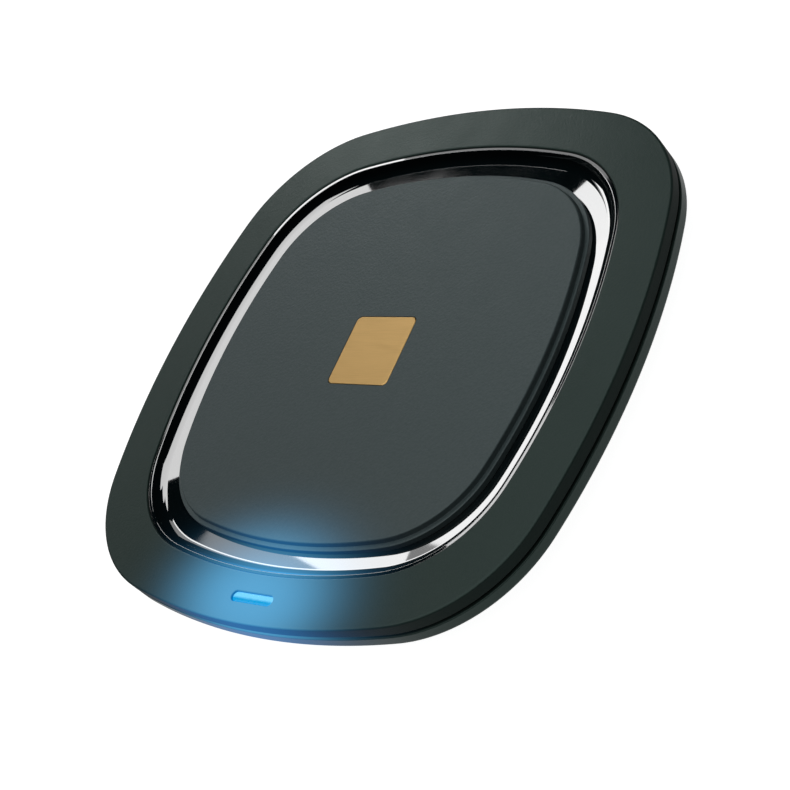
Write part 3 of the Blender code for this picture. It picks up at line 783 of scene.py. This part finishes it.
def centre_plate(material):
    """The matte plate that the phone lies on, with a low step round its foot."""
    underside, skirt_inner = 8.45 * MM, 32.5 * MM
    ledge_rounding, crease_rounding, top_rounding = 0.12 * MM, 0.06 * MM, 0.25 * MM
    profile = rounded(
        [
            (0.0, underside, 0.0),
            (skirt_inner, underside, 0.0),
            (skirt_inner, PLATE_FOOT, 0.0),
            (LEDGE_REACH, PLATE_FOOT, 0.0),
            (LEDGE_REACH, LEDGE_Z, ledge_rounding),
            (PLATE_WALL_FOOT, LEDGE_Z, crease_rounding),
            (PLATE_WALL_TOP, PLATE_TOP, top_rounding),
            (0.0, PLATE_TOP, 0.0),
        ]
    )
    mesh = combined(turned(profile), removed=[(emblem_pocket(), MIDDLE)])
    return piece("centre_plate_top", mesh, material, "soft_touch_coating", "centre_plate")


def emblem_pocket():
    """The pocket for the gold tile, a little wider than the tile and chamfered at the top."""
    gap = GAP / 2
    stations = [(0.0, EMBLEM_LOW - gap), (0.0, PLATE_TOP - gap), (-gap, PLATE_TOP), (-gap, TOP)]
    return tile(EMBLEM_SIZE + 2 * gap, EMBLEM_CORNER, stations)


def emblem_tile(material):
    """A plain gold tile let into the middle of the plate, with a softly bevelled edge."""
    bevel, hold = 0.14 * MM, 0.028 * MM
    stations = [
        (0.0, EMBLEM_LOW),
        (0.0, EMBLEM_TOP - bevel / 2),
        (bevel / 3, EMBLEM_TOP - bevel / 5),
        (bevel, EMBLEM_TOP),
        (bevel + hold, EMBLEM_TOP),
    ]
    mesh = tile(EMBLEM_SIZE, EMBLEM_CORNER, stations)
    return piece("emblem_plain_tile", mesh, material, "gold_foil", "emblem_tile")


def bottom_cover(material):
    """The lower casing, with its lip under the seam, foot recesses, label pocket and posts."""
    inside_floor, rooted = 2.5 * MM, 2.0 * MM
    seat_radius, seat_top = 3.6 * MM, 3.4 * MM
    label_radius, label_top = LABEL_RADIUS + 0.2 * MM, BASE_BOTTOM + 0.25 * MM
    seat = disc(seat_radius, rooted, seat_top)
    post = board_post(rooted)
    recess = foot_recess()
    mesh = combined(
        turned(bottom_profile(inside_floor)),
        joined=[*((seat, place) for place in corners()), *((post, place) for place in BOARD_SCREWS)],
        removed=[
            *((recess, place) for place in corners()),
            (disc(label_radius, 0, label_top, steps=96), MIDDLE),
            (inlet_hole(), MIDDLE),
            *((shape, MIDDLE) for shape in board_pockets()),
        ],
    )
    return piece("bottom_cover_shell", mesh, material, "matte_black_plastic", "bottom_cover")


def bottom_profile(inside_floor):
    """The lower casing's section: its outer side, a spigot inside the rim, a rib under the ferrite."""
    base_reach, lip_low = 40.25 * MM, 4.85 * MM
    base_rounding, lip_rounding, seam_rounding = 6.0 * MM, 0.7 * MM, 0.22 * MM
    spigot_outer = HALF_WIDTH - WALL - GAP
    spigot_inner = spigot_outer - 0.85 * MM
    spigot_top, slope_top = 7.6 * MM, 5.7 * MM
    bend_reach, bend_height, floor_reach = 41.6 * MM, 3.5 * MM, 39.6 * MM
    rib_outer, rib_inner, rib_top = 19.5 * MM, 18.0 * MM, 4.45 * MM
    return rounded(
        [
            (0.0, BASE_BOTTOM, 0.0),
            (base_reach, BASE_BOTTOM, base_rounding),
            (HALF_WIDTH, lip_low, lip_rounding),
            (HALF_WIDTH, SEAM_LOW, seam_rounding),
            (spigot_outer, SEAM_LOW, 0.0),
            (spigot_outer, spigot_top, 0.0),
            (spigot_inner, spigot_top, 0.0),
            (spigot_inner, slope_top, 0.0),
            (bend_reach, bend_height, 0.0),
            (floor_reach, inside_floor, 0.0),
            (rib_outer, inside_floor, 0.0),
            (rib_outer, rib_top, 0.0),
            (rib_inner, rib_top, 0.0),
            (rib_inner, inside_floor, 0.0),
            (0.0, inside_floor, 0.0),
        ]
    )


def board_post(low):
    """A post that the circuit board is screwed to."""
    radius, bore, bore_low, high = 2.4 * MM, 1.0 * MM, 3.0 * MM, 4.55 * MM
    return round_solid(
        [(0, low), (radius, low), (radius, high), (bore, high), (bore, bore_low), (0, bore_low)]
    )


def foot_recess():
    """What is cut away for a foot, and over it for the head and the shank of a case screw."""
    foot, foot_top = FOOT_RADIUS + 0.15 * MM, 1.35 * MM
    head, head_top = 2.2 * MM, 2.4 * MM
    shank, shank_top = 1.2 * MM, 4.0 * MM
    profile = [
        (0, 0),
        (foot, 0),
        (foot, foot_top),
        (head, foot_top),
        (head, head_top),
        (shank, head_top),
        (shank, shank_top),
        (0, shank_top),
    ]
    return round_solid(profile, steps=48)


def board_pockets():
    """The room that the lower casing leaves round the power inlet and round the light's gasket."""
    low = 4.35 * MM
    inlet_size, inlet_y = (16.6 * MM, 6.3 * MM, 5.0 * MM), 43.65 * MM
    light_size, light_y = (11.6 * MM, 5.0 * MM, 1.6 * MM), -44.0 * MM
    return pocket(inlet_size, inlet_y, low), pocket(light_size, light_y, low)


def feet(material):
    """Four round rubber feet with a softly rounded tread."""
    high, tread_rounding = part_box("foot_1")[1].z, 0.35 * MM
    profile = rounded(
        [
            (0.0, 0.0, 0.0),
            (FOOT_RADIUS, 0.0, tread_rounding),
            (FOOT_RADIUS, high, 0.0),
            (0.0, high, 0.0),
        ]
    )
    for number, place in enumerate(corners(), 1):
        mesh = round_solid(profile, steps=64)
        piece(f"rubber_foot_{number}", mesh, material, "dark_rubber", f"foot_{number}", at=place)


def rating_label(material):
    """A blank round label with a cut edge, in its shallow pocket."""
    edge_rounding = 0.04 * MM
    profile = rounded(
        [
            (0.0, LABEL_LOW, 0.0),
            (LABEL_RADIUS, LABEL_LOW, edge_rounding),
            (LABEL_RADIUS, LABEL_HIGH, 0.0),
            (0.0, LABEL_HIGH, 0.0),
        ]
    )
    mesh = round_solid(profile, steps=128)
    return piece("rating_label_film", mesh, material, "label_film", "rating_label")


def light_part(length, width, low, high):
    """A plain pill under the light window."""
    return pill(length, [(width / 2, low), (width / 2, high)], LIGHT_PLACE)


def light_window(material):
    """The light pipe: a softly crowned pill in the rim's slot, with its flange and stem below."""
    clearance, foot = 0.04 * MM, 8.0 * MM
    length, width = (size - 2 * clearance for size in LIGHT_SLOT)
    half = width / 2
    crown, crown_reach, crown_steps = 0.16 * MM, 0.55 * half, 5
    stations = [(half, foot), (half, LIGHT_TOP - crown)]
    for step in range(1, crown_steps + 1):
        angle = math.pi / 2 * step / crown_steps
        across = half - crown_reach * (1 - math.cos(angle))
        stations.append((across, LIGHT_TOP - crown + crown * math.sin(angle)))
    window = pill(length, stations, LIGHT_PLACE)
    flange = light_part(10.6 * MM, 3.0 * MM, low=7.75 * MM, high=8.35 * MM)
    stem = light_part(4.0 * MM, 1.7 * MM, low=6.75 * MM, high=7.9 * MM)
    mesh = combined(window, joined=[(flange, MIDDLE), (stem, MIDDLE)])
    return piece("light_window", mesh, material, "blue_light_pipe", "light_pipe")


def power_inlet(steel, resin, gold):
    """The inlet in the rear edge: its metal shell, its contact tongue and the five contacts."""
    inlet_shell(steel)
    low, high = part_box("usb_tongue")
    tongue = block(high - low, (low + high) / 2, rounding=0.1 * MM, segments=2)
    piece("inlet_tongue", tongue, resin, "chip_resin", "usb_tongue")
    piece("inlet_contacts", inlet_contacts(low, high), gold, "gold_foil")


def inlet_shell(material):
    """A sleeve with round edges, open to the rear of the pad and closed at its inner end."""
    wall, outer_rounding, inner_rounding = 0.3 * MM, 0.6 * MM, 0.4 * MM
    closed_end = Vector((0.0, 0.5 * MM, 0.0))
    size = INLET_HIGH - INLET_LOW
    centre = (INLET_HIGH + INLET_LOW) / 2
    inside = (size.x - 2 * wall, size.y, size.z - 2 * wall)
    shell = block(size, centre, outer_rounding, segments=4, edges_along=Y_AXIS)
    hollow = block(inside, centre + closed_end, inner_rounding, segments=4, edges_along=Y_AXIS)
    mesh = combined(shell, removed=[(hollow, MIDDLE)])
    piece("inlet_shell", mesh, material, "zinc_plated_steel", "usb_shell")


def inlet_contacts(low, high):
    """Five flat contacts side by side under the tongue, whose corners these are."""
    count, pitch, width, depth, margin = 5, 0.65 * MM, 0.35 * MM, 0.05 * MM, 0.3 * MM
    size = Matrix.Diagonal((width, high.y - low.y - 2 * margin, depth, 1.0))
    work = bmesh.new()
    for number in range(count):
        x = (number - (count - 1) / 2) * pitch
        place = Matrix.Translation((x, (low.y + high.y) / 2, low.z - depth / 2))
        bmesh.ops.create_cube(work, size=1.0, matrix=place @ size)
    return mesh_from(work)


# ---- Stage ----


def camera_axes():
    """The camera's right, up and backward directions."""
    back = Vector(
        (
            math.sin(AZIMUTH) * math.cos(ELEVATION),
            -math.cos(AZIMUTH) * math.cos(ELEVATION),
            math.sin(ELEVATION),
        )
    )
    level = Vector((math.cos(AZIMUTH), math.sin(AZIMUTH), 0.0))
    upward = back.cross(level)
    right = level * math.cos(ROLL) + upward * math.sin(ROLL)
    return right, back.cross(right), back


def camera():
    """The camera, aimed a little beside the middle of the pad's top."""
    data = bpy.data.cameras.new("camera")
    data.lens = LENS_MM
    data.sensor_width = SENSOR_MM
    data.clip_start = 0.01
    obj = bpy.data.objects.new("camera", data)
    right, upward, back = camera_axes()
    target = Vector((0.0, 0.0, TOP - RIM_FALL))
    place = target + right * AIM_RIGHT + upward * AIM_UP + back * DISTANCE
    turn = Matrix((right, upward, back)).transposed()
    obj.matrix_world = Matrix.Translation(place) @ turn.to_4x4()
    bpy.context.scene.collection.objects.link(obj)
    bpy.context.scene.camera = obj


def softbox(name, size, place, turn, radiance, receivers):
    """A rectangular light that isn't seen itself, and that only its receivers are lit by."""
    data = bpy.data.lights.new(name, "AREA")
    data.shape = "RECTANGLE"
    data.size, data.size_y = size
    data.energy = radiance * math.pi * size[0] * size[1]
    obj = bpy.data.objects.new(name, data)
    obj.matrix_world = Matrix.Translation(place) @ turn
    obj.visible_camera = False
    bpy.context.scene.collection.objects.link(obj)
    obj.light_linking.receiver_collection = receivers


def overhead(name, along, across, radiance, receivers):
    """A level softbox over the pad, with these spans along the camera's bearing and across it."""
    (rear, front), (left, right) = along, across
    place = TOWARD * ((rear + front) / 2 * FAR) + ASIDE * ((left + right) / 2 * FAR)
    place += Vector((0.0, 0.0, FAR))
    size = ((front - rear) * FAR, (right - left) * FAR)
    softbox(name, size, place, Matrix.Rotation(BEARING, 4, "Z"), radiance, receivers)


def upright(name, across, upward, radiance, receivers):
    """An upright softbox behind the pad, with these spans across the camera's bearing and upward."""
    (left, right), (low, high) = across, upward
    place = TOWARD * -FAR
    place += ASIDE * ((left + right) / 2 * FAR) + Vector((0.0, 0.0, (low + high) / 2 * FAR))
    turn = Matrix((ASIDE * -1, Vector((0.0, 0.0, 1.0)), TOWARD * -1)).transposed().to_4x4()
    softbox(name, ((right - left) * FAR, (high - low) * FAR), place, turn, radiance, receivers)


def linked(name, pieces, state="INCLUDE"):
    """Receivers for a light: only these pieces, or with EXCLUDE all but these."""
    group = bpy.data.collections.new(name)
    for obj in pieces:
        group.objects.link(obj)
    for member in group.collection_objects:
        member.light_linking.link_state = state
    return group


def lights(gloss_pieces, lower_pieces):
    """A soft overhead light and low ones behind, so far off that their mirrored edges run straight.

    The gloss pieces mirror bright softboxes of their own instead. The lower casing is also lit from
    below, by a softbox that stands for the white table.
    """
    others = linked("all_but_gloss", gloss_pieces, "EXCLUDE")
    overhead("overhead", OVERHEAD_ALONG, OVERHEAD_ACROSS, OVERHEAD, others)
    upright("key", KEY_ACROSS, KEY_UPWARD, KEY, others)
    upright("fill", FILL_ACROSS, FILL_UPWARD, FILL, others)
    gloss = linked("gloss_pieces", gloss_pieces)
    for number, (along, across) in enumerate(GLOSS_OVERHEADS, 1):
        overhead(f"gloss_overhead_{number}", along, across, GLOSS_OVERHEAD, gloss)
    for name, across, upward, radiance in GLOSS_UPRIGHTS:
        upright(name, across, upward, radiance, gloss)
    lower = linked("lower_pieces", lower_pieces)
    size = (TABLE_GLOW_SIZE, TABLE_GLOW_SIZE)
    facing_up = Matrix.Rotation(math.pi, 4, "X")
    softbox("table_glow", size, Vector(), facing_up, TABLE_GLOW, lower)


def seen_only_by_camera(tree, seen, otherwise):
    """A brightness that the camera sees, and another one that lights the object."""
    path = add_node(tree, "ShaderNodeLightPath").outputs["Is Camera Ray"]
    return between(tree, path, otherwise, seen, start=0.0, end=1.0)


def world():
    """White behind the floor's edge, and nearly dark to everything but the camera."""
    made = bpy.data.worlds.new("world")
    bpy.context.scene.world = made
    made.use_nodes = True
    background = made.node_tree.nodes["Background"]
    background.inputs["Color"].default_value = (1.0, 1.0, 1.0, 1.0)
    strength = seen_only_by_camera(made.node_tree, seen=1.0, otherwise=0.004)
    made.node_tree.links.new(strength, background.inputs["Strength"])


def floor():
    """A wide white floor, so bright that the pad hardly shadows it."""
    half, drop = 3.0, 0.05 * MM
    work = bmesh.new()
    bmesh.ops.create_grid(work, x_segments=1, y_segments=1, size=half)
    mesh = mesh_from(work)
    material, tree, shader = new_material("floor_white", roughness=1.0, specular=0.0)
    set_colour(tree, shader, noise(tree, 40 * MM), (0.34, 0.34, 0.34), (0.36, 0.36, 0.36))
    shader.inputs["Emission Color"].default_value = (1.0, 1.0, 1.0, 1.0)
    glow = seen_only_by_camera(tree, seen=0.96, otherwise=0.0)
    tree.links.new(glow, shader.inputs["Emission Strength"])
    mesh.materials.append(material)
    obj = bpy.data.objects.new("floor", mesh)
    obj.location.z = -drop
    bpy.context.scene.collection.objects.link(obj)


def kept_pieces(materials):
    """The CAD pieces that keep their shape get the material of their slot."""
    for part in frame["record"]["subparts"]:
        obj = frame["nodes"][part["node"]]
        if obj.hide_render:
            continue
        obj.data.materials.clear()
        obj.data.materials.append(materials[part["material_slot"]])


def build():
    """Makes the materials, the pieces and the stage."""
    materials = {
        "matte_black_plastic": matte_black(),
        "gloss_black_plastic": gloss_black(),
        "soft_touch_coating": soft_black(),
        "gold_foil": gold_foil(),
        "dark_rubber": dark_rubber(),
        "zinc_plated_steel": zinc_steel(),
        "blue_light_pipe": clear_blue(),
        "led_resin": led_resin(),
        "label_film": label_film(),
        "circuit_board": board_laminate(),
        "chip_resin": chip_resin(),
        "capacitor_ceramic": capacitor_ceramic(),
        "litz_copper": litz_copper(),
        "ferrite": ferrite_grey(),
        "polyimide_film": flex_film(),
    }
    rim_cover(materials["matte_black_plastic"])
    channel = gloss_channel(materials["gloss_black_plastic"])
    centre_plate(materials["soft_touch_coating"])
    emblem_tile(materials["gold_foil"])
    lower = bottom_cover(materials["matte_black_plastic"])
    feet(materials["dark_rubber"])
    rating_label(materials["label_film"])
    light_window(materials["blue_light_pipe"])
    power_inlet(materials["zinc_plated_steel"], materials["chip_resin"], materials["gold_foil"])
    kept_pieces(materials)
    camera()
    lights([channel], [lower])
    world()
    floor()
    bpy.context.scene.view_settings.view_transform = "Standard"


build()
